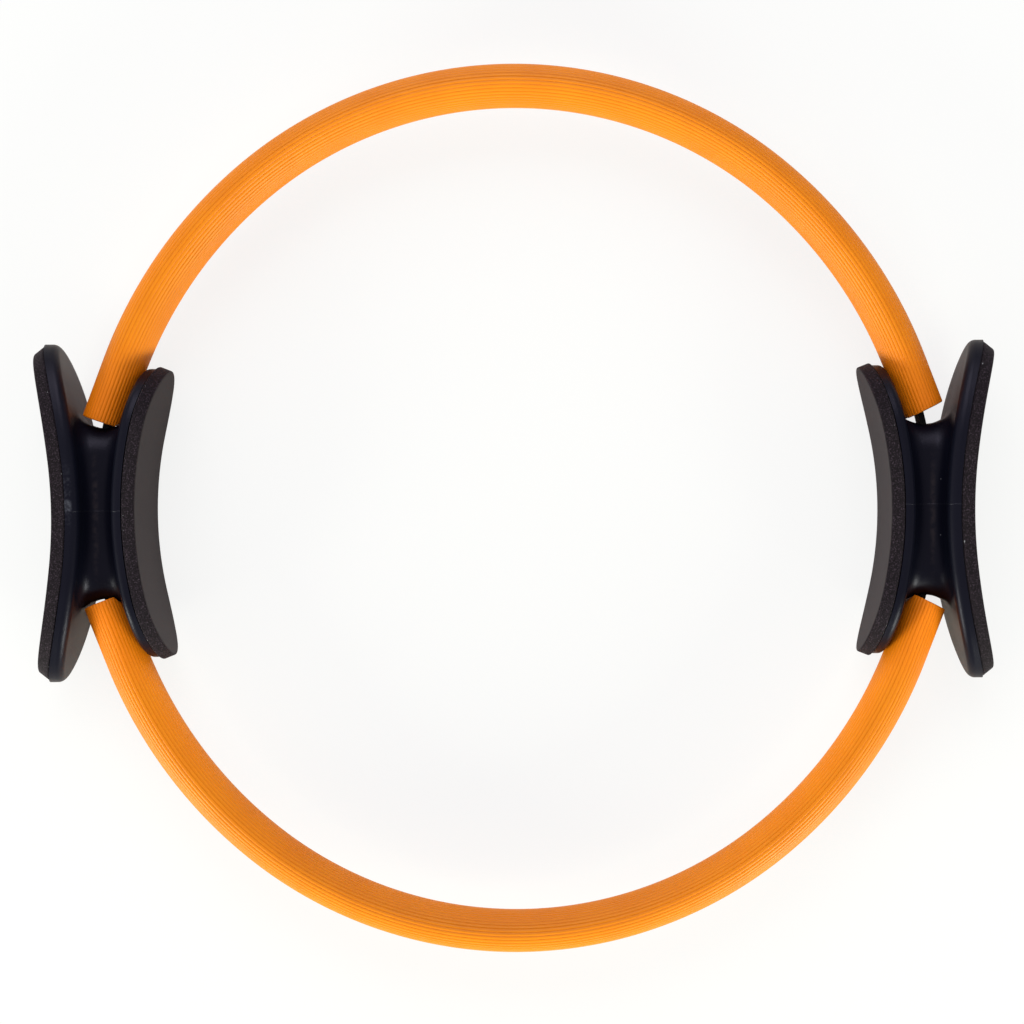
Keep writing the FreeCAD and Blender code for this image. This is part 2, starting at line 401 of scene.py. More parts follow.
@dataclass(frozen=True)
class MouldedPlastic:
    """Blue-black moulded plastic, satin, with a witness line across the middle.

    A scuff is a rubbed patch on the outer rim, and single pale specks lie at listed places.
    The pale streak down the middle of each waist is a painted highlight.
    """

    name: str
    seam_y: float
    scuff: float
    pale_specks: tuple[Span, ...]
    tone: Colour = screen(10, 11, 22)
    shine: Colour = (0.82, 0.76, 1.0, 1.0)
    worn: Colour = screen(62, 63, 72)
    # painted highlight: the pale tone of the streak down each waist's middle
    streak_highlight: Colour = screen(74, 64, 64)
    speck: Colour = screen(108, 108, 114)
    rim_x: float = 0.1866
    rim_reach: Span = (0.0026, 0.0012)
    rim_z: Span = (0.045, 0.048)
    scuff_start: Span = (-0.012, 0.004)
    scuff_stop: Span = (0.024, 0.01)
    scuff_most: float = 0.35
    patch_start: Span = (0.0, 0.0006)
    patch_stop: Span = (0.0052, 0.0036)
    patch_least: float = 0.35
    mottle: float = 0.0011
    mottle_span: Span = (0.42, 0.7)
    trough_x: float = 0.177
    trough_reach: Span = (0.0018, 0.0)
    streak_y: Span = (0.034, 0.008)
    streak_z: Span = (0.03, 0.036)
    streak_grain: float = 0.0025
    streak_span: Span = (0.3, 0.72)
    streak_most: float = 0.3
    speck_size: float = 0.00028
    speck_z: Span = (0.026, 0.03)
    seam_width: float = 0.0003
    seam_wear: float = 0.1
    seam_lift: float = 1.5
    cloud: float = 0.02
    grain: float = 0.0005
    grain_depth: float = 0.00006
    roughness: float = 0.36
    cloud_roughness: float = 0.16
    worn_roughness: float = 0.2
    gloss: float = 0.17

    def rubbed(self, graph: Graph, place: Signal) -> Signal:
        """Where the outer rim is scuffed: mottled along it, and most just above the witness line.

        Args:
            graph: The material's graph.
            place: Object coordinates.

        Returns:
            The share of the worn tone.
        """
        past = graph.axis(place, "Y") - self.seam_y
        off_rim = abs(abs(graph.axis(place, "X")) - self.rim_x)
        on_rim = off_rim.rise(*self.rim_reach) * graph.axis(place, "Z").rise(*self.rim_z)
        mottle = graph.noise(place, self.mottle, Detail.BROKEN).rise(*self.mottle_span)
        along = past.rise(*self.scuff_start) * past.rise(*self.scuff_stop) * self.scuff_most
        patch = past.rise(*self.patch_start) * past.rise(*self.patch_stop)
        patch = patch * (self.patch_least + (1 - self.patch_least) * mottle)
        return on_rim * (along * mottle + patch) * self.scuff

    def highlight_streak(self, graph: Graph, place: Signal) -> Signal:
        """Where the painted highlight runs down the middle of the waist, along its length.

        Args:
            graph: The material's graph.
            place: Object coordinates.

        Returns:
            The share of the painted highlight's tone.
        """
        across = abs(abs(graph.axis(place, "X")) - self.trough_x).rise(*self.trough_reach)
        along = abs(graph.axis(place, "Y")).rise(*self.streak_y)
        along = along * graph.axis(place, "Z").rise(*self.streak_z)
        grain = graph.noise(place, self.streak_grain, Detail.BROKEN).rise(*self.streak_span)
        return across * along * grain * self.streak_most

    def pale_speck_share(self, graph: Graph, place: Signal) -> Signal:
        """Where a pale speck lies, seen from above: within speck_size of its place.

        Args:
            graph: The material's graph.
            place: Object coordinates.

        Returns:
            The share of the specks' tone.
        """
        x, y = graph.axis(place, "X"), graph.axis(place, "Y")
        found = y * 0.0
        for speck_x, speck_y in self.pale_specks:
            away = (x - speck_x) ** 2.0 + (y - speck_y) ** 2.0
            found = found + away.rise(self.speck_size ** 2, 0.0)
        return found * graph.axis(place, "Z").rise(*self.speck_z)

    def build(self) -> bpy.types.Material:
        """Lays wear, painted highlight and specks over the plain tone; grain and the witness line
        bump it.

        Returns:
            The material.
        """
        graph = Graph(bpy.data.materials.new(self.name))
        place = graph.place()
        seam = abs(graph.axis(place, "Y") - self.seam_y).rise(self.seam_width, 0.0)
        cloud = graph.noise(place, self.cloud, Detail.BROKEN)
        grain = graph.noise(place, self.grain, Detail.FINE)
        rubbed = self.rubbed(graph, place)
        tone = graph.mix(seam * self.seam_wear + rubbed, self.tone, self.worn)
        # painted highlight: a pale streak along the trough's bottom, for a lamp's reflection
        tone = graph.mix(self.highlight_streak(graph, place), tone, self.streak_highlight)
        tone = graph.mix(self.pale_speck_share(graph, place), tone, self.speck)
        rough = cloud.around(self.roughness, self.cloud_roughness) + self.worn_roughness * rubbed
        return graph.surface(Base_Color=tone, Roughness=rough,
                             Specular_IOR_Level=self.gloss, Specular_Tint=self.shine,
                             Normal=graph.bump(grain + seam * self.seam_lift, self.grain_depth))


@dataclass(frozen=True)
class SpringSteel:
    """Black-painted spring steel, a little rubbed."""

    name: str = "spring_steel_black"
    tone: Colour = screen(10, 10, 11)
    rubbed: Colour = screen(28, 28, 30)
    rubbed_span: Span = (0.6, 0.75)
    rubbed_most: float = 0.5
    grain: float = 0.002
    roughness: float = 0.6
    grain_roughness: float = 0.2
    gloss: float = 0.15

    def build(self) -> bpy.types.Material:
        """Lays rubbed spots over the paint.

        Returns:
            The material.
        """
        graph = Graph(bpy.data.materials.new(self.name))
        grain = graph.noise(graph.place(), self.grain, Detail.BROKEN)
        spots = grain.rise(*self.rubbed_span) * self.rubbed_most
        return graph.surface(Base_Color=graph.mix(spots, self.tone, self.rubbed),
                             Roughness=grain.around(self.roughness, self.grain_roughness),
                             Specular_IOR_Level=self.gloss)


@dataclass(frozen=True)
class ScrewSteel:
    """Zinc-plated screw steel."""

    name: str = "screw_steel_zinc"
    tone: Colour = screen(196, 197, 200)
    dull: Colour = screen(160, 161, 166)
    grain: float = 0.0006
    roughness: float = 0.3
    grain_roughness: float = 0.2

    def build(self) -> bpy.types.Material:
        """Clouds the bright plating with the dull tone.

        Returns:
            The material.
        """
        graph = Graph(bpy.data.materials.new(self.name))
        grain = graph.noise(graph.place(), self.grain, Detail.FINE)
        return graph.surface(Base_Color=graph.mix(grain, self.tone, self.dull), Metallic=1.0,
                             Roughness=grain.around(self.roughness, self.grain_roughness))


# Meshes


class Mesh:
    """A mesh put together from grids of points."""

    SAME_PLACE = 1e-6

    def __init__(self, attribute: Optional[str] = None) -> None:
        """Starts empty.

        Args:
            attribute: Name of the number that each point carries, if it carries one.
        """
        self.attribute = attribute
        self.points: list[np.ndarray] = []
        self.values: list[np.ndarray] = []
        self.faces: list[list[int]] = []
        self.count = 0

    def add(self, points: np.ndarray, values: Union[float, np.ndarray] = 0.0) -> np.ndarray:
        """Adds points.

        Args:
            points: Places, in an array whose last axis is X, Y, Z.
            values: The number that each one carries.

        Returns:
            Their numbers in the mesh, in the same layout.
        """
        layout = points.shape[:-1]
        size = int(np.prod(layout))
        self.points.append(points.reshape(-1, 3))
        self.values.append(np.broadcast_to(values, layout).reshape(-1))
        self.count += size
        return np.arange(self.count - size, self.count).reshape(layout)

    def weave(self, numbers: np.ndarray) -> None:
        """Joins a grid of point numbers with quads.

        Args:
            numbers: Rows by columns; the last column is joined to the first.
        """
        numbers = np.concatenate([numbers, numbers[:, :1]], axis=1)
        corners = [numbers[:-1, :-1], numbers[:-1, 1:], numbers[1:, 1:], numbers[1:, :-1]]
        self.faces += np.stack(corners, axis=-1).reshape(-1, 4).tolist()

    def fan(self, ring: np.ndarray, pole: int) -> None:
        """Joins a closed ring of point numbers to a pole with triangles."""
        tips = np.stack([ring, np.roll(ring, -1), np.full_like(ring, pole)], axis=-1)
        self.faces += tips.tolist()

    def build(self, name: str, material: bpy.types.Material, crease: float) -> bpy.types.Object:
        """Makes the object: doubles merged, faces outwards, smooth up to the crease angle.

        Args:
            name: The piece's name.
            material: Its finish.
            crease: Edges sharper than this many degrees stay crisp.

        Returns:
            The object, at the origin.
        """
        mesh = bpy.data.meshes.new(name)
        mesh.from_pydata(np.concatenate(self.points), [], self.faces)
        if self.attribute:
            carried = mesh.attributes.new(self.attribute, "FLOAT", "POINT")
            carried.data.foreach_set("value", np.concatenate(self.values).astype(np.float32))
        shape = bmesh.new()
        shape.from_mesh(mesh)
        bmesh.ops.remove_doubles(shape, verts=shape.verts, dist=self.SAME_PLACE)
        bmesh.ops.recalc_face_normals(shape, faces=shape.faces)
        shape.to_mesh(mesh)
        shape.free()
        mesh.shade_smooth()
        mesh.set_sharp_from_angle(angle=math.radians(crease))
        mesh.materials.append(material)
        piece = bpy.data.objects.new(name, mesh)
        bpy.context.scene.collection.objects.link(piece)
        LOG.info("%s: %d points", name, len(mesh.vertices))
        return piece


# The half-hoops


@dataclass(frozen=True)
class HoopLine:
    """Middle line of a sleeve: a crown arc, flatter shoulders and straight ends, without kinks."""

    crown_radius: float = 0.1735
    crown_rise: float = 0.0075
    shoulder_angle: float = 50.0
    shoulder_radius: float = 0.1907
    straight_height: float = 0.06266
    middle_z: float = 0.025

    @property
    def shoulder_centre(self) -> Span:
        """Centre of the right upper shoulder arc, as X, Y.

        The arcs meet without a kink, so it lies behind the crown's centre, on the radius at the
        shoulder angle, by the difference of their radii.

        Returns:
            The centre in the ring's plane.
        """
        shift = self.shoulder_radius - self.crown_radius
        angle = math.radians(self.shoulder_angle)
        return -shift * math.cos(angle), self.crown_rise - shift * math.sin(angle)

    @property
    def sleeve_slope(self) -> float:
        """Slope, in radians, at which a sleeve's shoulder ends and its straight end starts."""
        return self.slope_at(self.straight_height, 0.0)

    def slope_at(self, height: float, inset: float) -> float:
        """Slope, in radians, of the shoulder where it is this high over the ring's middle line."""
        return math.asin((height - self.shoulder_centre[1]) / (self.shoulder_radius - inset))

    def trace(self, lengths: np.ndarray, inset: float,
              last_slope: float) -> tuple[np.ndarray, np.ndarray]:
        """Follows the right upper quarter from the crown's top.

        An arc of radius r passes its centre c at slope a as c + r (cos a, sin a). The crown falls
        from a right angle to the shoulder angle, the shoulder on to last_slope, and the rest of the
        length runs straight on.

        Args:
            lengths: Distances from the top, along the line, in any layout.
            inset: How far the line runs inside the sleeve's middle line.
            last_slope: Slope, in radians, at which the shoulder ends.

        Returns:
            The places in the ring's plane and the outward directions there, as X, Y.
        """
        crown, shoulder = self.crown_radius - inset, self.shoulder_radius - inset
        knee = math.radians(self.shoulder_angle)
        crown_length = crown * (math.pi / 2 - knee)
        shoulder_length = shoulder * (knee - last_slope)
        on_crown = lengths < crown_length
        past = np.maximum(lengths - crown_length - shoulder_length, 0.0)
        slope = np.where(on_crown, math.pi / 2 - lengths / crown,
                         np.maximum(knee - (lengths - crown_length) / shoulder, last_slope))
        out = np.stack([np.cos(slope), np.sin(slope)], axis=-1)
        down = np.stack([np.sin(slope), -np.cos(slope)], axis=-1)
        centre = np.where(on_crown[..., None], (0.0, self.crown_rise), self.shoulder_centre)
        radius = np.where(on_crown, crown, shoulder)
        return centre + radius[..., None] * out + past[..., None] * down, out

    def length_to(self, height: float, inset: float, last_slope: float) -> float:
        """Length from the crown's top down to a height over the ring's middle line.

        It is each arc's radius times the angle that it turns, and the straight rest.

        Args:
            height: The height.
            inset: How far the line runs inside the sleeve's middle line.
            last_slope: Slope, in radians, at which the shoulder ends.

        Returns:
            The length along the line.
        """
        knee = math.radians(self.shoulder_angle)
        arcs = ((self.crown_radius - inset) * (math.pi / 2 - knee)
                + (self.shoulder_radius - inset) * (knee - last_slope))
        end = self.shoulder_centre[1] + (self.shoulder_radius - inset) * math.sin(last_slope)
        return arcs + (end - height) / math.cos(last_slope)


def turned(points: np.ndarray, side: Side, half: Half) -> np.ndarray:
    """Mirrors points of the right upper quarter into another quarter."""
    return points * np.array([side.value, half.value, 1.0])


@dataclass(frozen=True)
class SleeveEnd:
    """Where a sleeve stops.

    Its height is over the ring's middle line, and its slant is the cut's, inner side lower.
    """

    height: float
    slant: float


@dataclass(frozen=True)
class Mouth:
    """Round mouth of the right handle round an upper sleeve end: a flared spool about Z."""

    x: float = 0.17483
    bottom: float = 0.0365
    radius: float = 0.0163
    half_depth: float = 0.014
    corner: float = 0.011
    clear: float = 0.0008

    def depth(self, start: np.ndarray, way: np.ndarray, z: np.ndarray) -> np.ndarray:
        """How far a straight line can go before it meets the mouth's wall.

        In plan the wall is a circle about c = (x, bottom + radius) of radius
        rho = radius + corner - sqrt(corner^2 - e^2) - clear, with e = |z| - (half_depth - corner).
        With q = start - c the line meets it at -q.way + sqrt((q.way)^2 - |q|^2 + rho^2).

        Args:
            start: Places in plan that the lines start from.
            way: Their direction in plan, of length 1.
            z: Their places along the axis, from the middle plane.

        Returns:
            The lengths.
        """
        lift = np.clip(np.abs(z) - (self.half_depth - self.corner), 0.0, self.corner)
        rho = self.radius + self.corner - np.sqrt(self.corner ** 2 - lift ** 2) - self.clear
        away = start - np.array([self.x, self.bottom + self.radius])
        along = away @ way
        room = np.maximum(along ** 2 - (away ** 2).sum(axis=-1) + rho ** 2, 0.0)
        return np.sqrt(room) - along


@dataclass
class HalfHoop:
    """One half-hoop: a ribbed foam sleeve over two spring leaves, each made as two quarters.

    The quarters meet at the crown's top.
    """

    half: Half
    ends: dict[Side, SleeveEnd]
    line: HoopLine = field(default_factory=HoopLine)
    mouth: Mouth = field(default_factory=Mouth)
    sleeve_thick: float = 0.018
    sleeve_depth: float = 0.028
    oval_steps: int = 4000
    rib_count: int = 44
    rib_steps: int = 8
    rib_height: float = 0.00026
    rib_crown: float = 1.6
    row_step: float = 0.003
    lip_round: float = 0.0005
    lip_steps: int = 4
    face_steps: int = 4
    face_crest: float = 0.6
    slot_depth: float = 0.02
    leaf_width: float = 0.012
    leaf_thick: float = 0.0012
    leaf_gap: float = 0.0001
    leaf_inset: float = 0.0008
    leaf_tip_height: float = 0.006
    sleeve_clear: float = 0.0004
    crease: float = 70.0

    def oval(self, angle: np.ndarray) -> np.ndarray:
        """Radial and axial places on the plain oval: thick / 2 cos(angle), depth / 2 sin(angle)."""
        half_axes = np.array([self.sleeve_thick / 2, self.sleeve_depth / 2])
        return half_axes * np.stack([np.cos(angle), np.sin(angle)], axis=-1)

    def ribbed_oval(self) -> tuple[np.ndarray, np.ndarray]:
        """Section of the sleeve.

        The plain oval is walked by equal arc length. At phase p, from 0 to pi, a point of a rib
        stands (1 - cos p) / 2 of the way across it and height (sin(p) ^ crown - 1) along the oval's
        normal: rounded humps between narrow grooves, with more points towards the grooves.

        Returns:
            Radial and axial places round the section, and each one's share of the rib height.
        """
        turn = np.linspace(0, 2 * math.pi, self.oval_steps + 1)
        chords = np.linalg.norm(np.diff(self.oval(turn), axis=0), axis=1)
        walked = np.concatenate([[0], np.cumsum(chords)])
        step = np.arange(self.rib_count * self.rib_steps)
        phase = math.pi * (step % self.rib_steps) / self.rib_steps
        along = (step // self.rib_steps + (1 - np.cos(phase)) / 2) / self.rib_count * walked[-1]
        angle = np.interp(along, walked, turn)
        crest = np.sin(phase) ** self.rib_crown
        normal = np.stack([self.sleeve_depth * np.cos(angle),
                           self.sleeve_thick * np.sin(angle)], axis=-1)
        normal /= np.linalg.norm(normal, axis=1, keepdims=True)
        return self.oval(angle) + normal * (self.rib_height * (crest - 1))[:, None], crest

    def slot(self, angle: np.ndarray) -> np.ndarray:
        """Outline of the slot for the leaves.

        A box of half sizes a and b meets the ray at an angle at 1 / max(|cos| / a, |sin| / b).

        Args:
            angle: Angle of each point of the section round the slot's middle.

        Returns:
            Radial and axial places.
        """
        across = (2 * self.leaf_thick + self.leaf_gap) / 2 + self.sleeve_clear
        tall = self.leaf_width / 2 + self.sleeve_clear
        ray = np.stack([np.cos(angle), np.sin(angle)], axis=-1)
        reach = 1 / np.maximum(np.abs(ray[:, 0]) / across, np.abs(ray[:, 1]) / tall)
        return ray * reach[:, None] - np.array([self.leaf_inset, 0.0])

    def swept(self, section: np.ndarray, length: np.ndarray, last_slope: float,
              inset: float = 0.0) -> np.ndarray:
        """Carries sections along the line.

        A point (r, z) of a section at a length stands r outwards from the line, z along the axis.

        Args:
            section: Radial and axial places, rows by columns by 2.
            length: The length of each from the crown's top, rows by columns or by 1.
            last_slope: Where the shoulder ends, in radians.
            inset: How far the line runs inside the sleeve's middle line.

        Returns:
            Places in the frame for the right upper quarter, rows by columns by 3.
        """
        middle, out = self.line.trace(length, inset, last_slope)
        flat = middle + out * section[..., :1]
        return np.concatenate([flat, section[..., 1:] + self.line.middle_z], axis=-1)

    def end_length(self, section: np.ndarray, side: Side) -> np.ndarray:
        """Length at which the sleeve stops: at its slanted cut, or before that at the mouth's wall.

        Args:
            section: Radial and axial places, last axis 2.
            side: The handle that the sleeve runs to.

        Returns:
            The length from the crown's top at each place.
        """
        last_slope = self.line.sleeve_slope
        start = self.line.length_to(self.line.straight_height, 0.0, last_slope)
        middle, out = self.line.trace(np.array(start), 0.0, last_slope)
        cut = self.line.length_to(self.ends[side].height, 0.0, last_slope)
        cut = cut - section[..., 0] * math.tan(math.radians(self.ends[side].slant))
        way = np.array([out[1], -out[0]])
        wall = self.mouth.depth(middle + section[..., :1] * out, way, section[..., 1])
        return np.minimum(cut, start + wall)

    def sleeve_quarter(self, side: Side, material: bpy.types.Material) -> bpy.types.Object:
        """Foam sleeve from the crown's top to one end, closed all round.

        Its rows of sections are the outer wall, the lip's quarter round, the cut face from the lip
        to the slot, and the slot's floor; a pole closes it at each end.

        Args:
            side: The handle that it runs to.
            material: Its finish.

        Returns:
            The piece.
        """
        section, crest = self.ribbed_oval()
        last_slope = self.line.sleeve_slope
        middle = np.array([-self.leaf_inset, 0.0])
        slot = self.slot(np.arctan2(section[:, 1], section[:, 0] + self.leaf_inset))
        end = self.end_length(section, side)

        wall = np.linspace(0, 1, round(end.max() / self.row_step))[:, None]
        lip = np.linspace(0, math.pi / 2, self.lip_steps + 1)[1:, None]
        shrink = 1 - self.lip_round * (1 - np.cos(lip)) / (self.sleeve_thick / 2)
        rim = section * shrink[-1]
        face = rim + (slot - rim) * np.linspace(0, 1, self.face_steps + 1)[1:, None, None]
        rows = [np.broadcast_to(section, (len(wall), *section.shape)), section * shrink[..., None],
                face, slot[None]]
        lengths = [wall * (end - self.lip_round), end - self.lip_round * (1 - np.sin(lip)),
                   self.end_length(face, side), self.end_length(slot[None], side) - self.slot_depth]
        values = np.full((len(wall) + len(lip) + len(face) + 1, len(crest)), self.face_crest)
        values[:len(wall) + len(lip)] = crest

        mesh = Mesh("crest")
        places = self.swept(np.concatenate(rows), np.concatenate(lengths), last_slope)
        numbers = mesh.add(turned(places, side, self.half), values)
        mesh.weave(numbers)
        for ring, length in ((numbers[0], 0.0), (numbers[-1], end.min() - self.slot_depth)):
            pole = self.swept(middle[None, None], np.array([[length]]), last_slope)
            mesh.fan(ring, int(mesh.add(turned(pole, side, self.half), self.face_crest)[0, 0]))
        return mesh.build(f"{self.half.word}_sleeve_{side.word}", material, self.crease)

    def leaf_quarter(self, side: Side, leaf: Leaf,
                     material: bpy.types.Material) -> bpy.types.Object:
        """Spring leaf from the crown's top to one tip: a flat box section carried along its line.

        Args:
            side: The handle that it runs to.
            leaf: Which leaf of the pair it is.
            material: Its finish.

        Returns:
            The piece.
        """
        inset = self.leaf_inset - leaf.value * (self.leaf_thick + self.leaf_gap) / 2
        last_slope = self.line.slope_at(self.leaf_tip_height, inset)
        end = self.line.length_to(self.leaf_tip_height, inset, last_slope)
        section = UNIT_SQUARE * np.array([self.leaf_thick, self.leaf_width])
        length = np.linspace(0, end, round(end / self.row_step))
        rows = np.broadcast_to(section, (len(length), *section.shape))
        places = self.swept(rows, length[:, None], last_slope, inset)
        mesh = Mesh()
        numbers = mesh.add(turned(places, side, self.half))
        mesh.weave(numbers)
        mesh.faces += [numbers[0].tolist(), numbers[-1].tolist()]
        return mesh.build(f"{self.half.word}_{leaf.word}_leaf_{side.word}", material, self.crease)

    def bend(self, piece: bpy.types.Object, side: Side) -> None:
        """Bakes a quarter's placing into its mesh.

        Args:
            piece: The sleeve or leaf.
            side: The handle that it runs to.
        """
        last_slope = self.line.sleeve_slope
        end = self.line.length_to(self.ends[side].height, 0.0, last_slope)
        places = self.swept(np.zeros((2, 1, 2)), np.array([[0.0], [end]]), last_slope)
        if side is Side.LEFT:
            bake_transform(piece)
        else:
            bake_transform(piece)

    def build(self, foam: bpy.types.Material, steel: bpy.types.Material) -> None:
        """Makes and dresses every piece of the half-hoop, and hides the solids that they stand in
        for.

        Args:
            foam: The sleeve's finish.
            steel: The leaves' finish.
        """
        for side in Side:
            sleeve = self.sleeve_quarter(side, foam)
            self.bend(sleeve, side)
            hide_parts(f"{self.half.word}_sleeve")
            for leaf in Leaf:
                strip = self.leaf_quarter(side, leaf, steel)
                self.bend(strip, side)
                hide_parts(f"{self.half.word}_{leaf.word}_leaf")


# The handles


@dataclass(frozen=True)
class Grip:
    """One grip of the right handle: the arc of its hollow face, and the oval-ended pad on it.

    face_x is the middle of the face, and sign the way along X from the arc's centre to it.
    """

    name: str
    face_x: float
    sign: int
    radius: float
    height: float
    end_length: float
    bevel: float

    def x(self, depth: np.ndarray, y: np.ndarray) -> np.ndarray:
        """X of the arc that lies depth behind the face, at y: centre + sign sqrt(r^2 - y^2)."""
        centre = self.face_x - self.sign * self.radius
        return centre + self.sign * np.sqrt((self.radius + depth) ** 2 - y ** 2)


@dataclass
class Handle:
    """One handle: a moulded body, foam pads on its two flanges, and screws under the outer pad."""

    side: Side
    grips: tuple[Grip, ...] = (
        Grip("outer", face_x=0.1932, sign=-1, radius=0.204, height=0.1435, end_length=0.045,
             bevel=0.0037),
        Grip("inner", face_x=0.1583, sign=1, radius=0.16, height=0.1254, end_length=0.027,
             bevel=0.00205))
    width: float = 0.05
    pad_thick: float = 0.0056
    edge_round: float = 0.0006
    back_rings: int = 5
    wall_rings: int = 4
    face_rings: int = 8
    face_crowding: float = 1.4
    glued_edge: float = 2.0
    edge_fade: tuple[float, ...] = (1.0, 1.0, 0.6, 0.2, 0.0)
    point_step: float = 0.001
    crease: float = 50.0

    def pad_profile(self) -> tuple[np.ndarray, np.ndarray, np.ndarray]:
        """Rings of a pad, from the middle of its back, round its edge, to the middle of its face.

        Both edges are quarter rounds of edge_round. Over the face, rings a share s of the way in
        stand at s ^ face_crowding, closer together near the edge.

        Returns:
            Each ring's inset from the outline, its depth behind the face, and 1 where it is cut,
            up to 2 at its glued edge.
        """
        half, thick, edge = self.width / 2, self.pad_thick, self.edge_round
        turn = np.linspace(0, math.pi / 2, len(self.edge_fade))
        back = np.linspace(half, edge, self.back_rings + 1)[:-1]
        wall = np.linspace(thick - edge, edge, self.wall_rings + 2)[1:-1]
        share = np.linspace(0, 1, self.face_rings + 1)[1:]
        face = edge + (half - edge) * share ** self.face_crowding
        inset = np.concatenate([back, edge * (1 - np.sin(turn)), np.zeros(len(wall)),
                                edge * (1 - np.cos(turn)), face])
        depth = np.concatenate([np.full(len(back), thick), thick - edge * (1 - np.cos(turn)), wall,
                                edge * (1 - np.sin(turn)), np.zeros(len(face))])
        cut = np.concatenate([np.zeros(len(back)), np.full(len(turn), self.glued_edge),
                              np.ones(len(wall)), self.edge_fade, np.zeros(len(face))])
        return inset, depth, cut

    def pad(self, grip: Grip, material: bpy.types.Material) -> bpy.types.Object:
        """Foam slab: oval-ended rings whose ends draw in towards the face, laid on the grip's arc.

        A ring is a straight run of half length L with half-ellipse ends of half axes
        end_length - inset and width / 2 - inset; L falls by the bevel from back to face, and X
        follows from the arc at Y.

        Args:
            grip: The grip that it covers.
            material: Its finish.

        Returns:
            The piece.
        """
        half = self.width / 2
        inset, depth, cut = self.pad_profile()
        run = grip.height / 2 - grip.end_length - grip.bevel * (1 - depth / self.pad_thick)
        ends = round(math.pi * half / self.point_step / 2)
        turn = np.linspace(-math.pi / 2, math.pi / 2, ends)
        sides = np.linspace(1, -1, round(grip.height / self.point_step / 2))[1:-1]
        angle = np.concatenate([turn, np.full(len(sides), math.pi / 2), turn + math.pi,
                                np.full(len(sides), -math.pi / 2)])
        share = np.concatenate([np.ones(ends), sides, -np.ones(ends), -sides])
        y = run[:, None] * share + (grip.end_length - inset)[:, None] * np.cos(angle)
        z = half + (half - inset)[:, None] * np.sin(angle)
        places = np.stack([grip.x(depth[:, None], y), y, z], axis=-1)
        mesh = Mesh("cut")
        numbers = mesh.add(places * np.array([self.side.value, self.side.value, 1]), cut[:, None])
        mesh.weave(numbers)
        return mesh.build(f"{self.side.word}_{grip.name}_pad_foam", material, self.crease)

    def build(self, foam: bpy.types.Material, plastic: bpy.types.Material,
              steel: bpy.types.Material) -> None:
        """Makes the pads and dresses the body and the screws.

        Args:
            foam: The pads' finish.
            plastic: The body's finish.
            steel: The screws' finish.
        """
        for grip in self.grips:
            pad = self.pad(grip, foam)
            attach(pad, f"{self.side.word}_grip")
            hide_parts(f"{self.side.word}_{grip.name}_pad")
        dressed = {f"{self.side.word}_handle_body": plastic}
        dressed.update({f"{self.side.word}_{half.word}_screw": steel for half in Half})
        for node, material in dressed.items():
            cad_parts[node].material_slots[0].material = material
            LOG.info("%s: dressed", node)


# The studio


@dataclass(frozen=True)
class Lamp:
    """Square soft lamp aimed at the middle of the ring."""

    name: str
    place: Triple
    size: float
    watts: float
    tint: Triple

    def build(self) -> None:
        """Hangs the lamp."""
        light = bpy.data.lights.new(self.name, "AREA")
        light.size = self.size
        light.energy = self.watts
        light.color = self.tint
        lamp = bpy.data.objects.new(self.name, light)
        lamp.location = self.place
        lamp.rotation_euler = (-Vector(self.place)).to_track_quat("-Z", "Y").to_euler()
        bpy.context.scene.collection.objects.link(lamp)


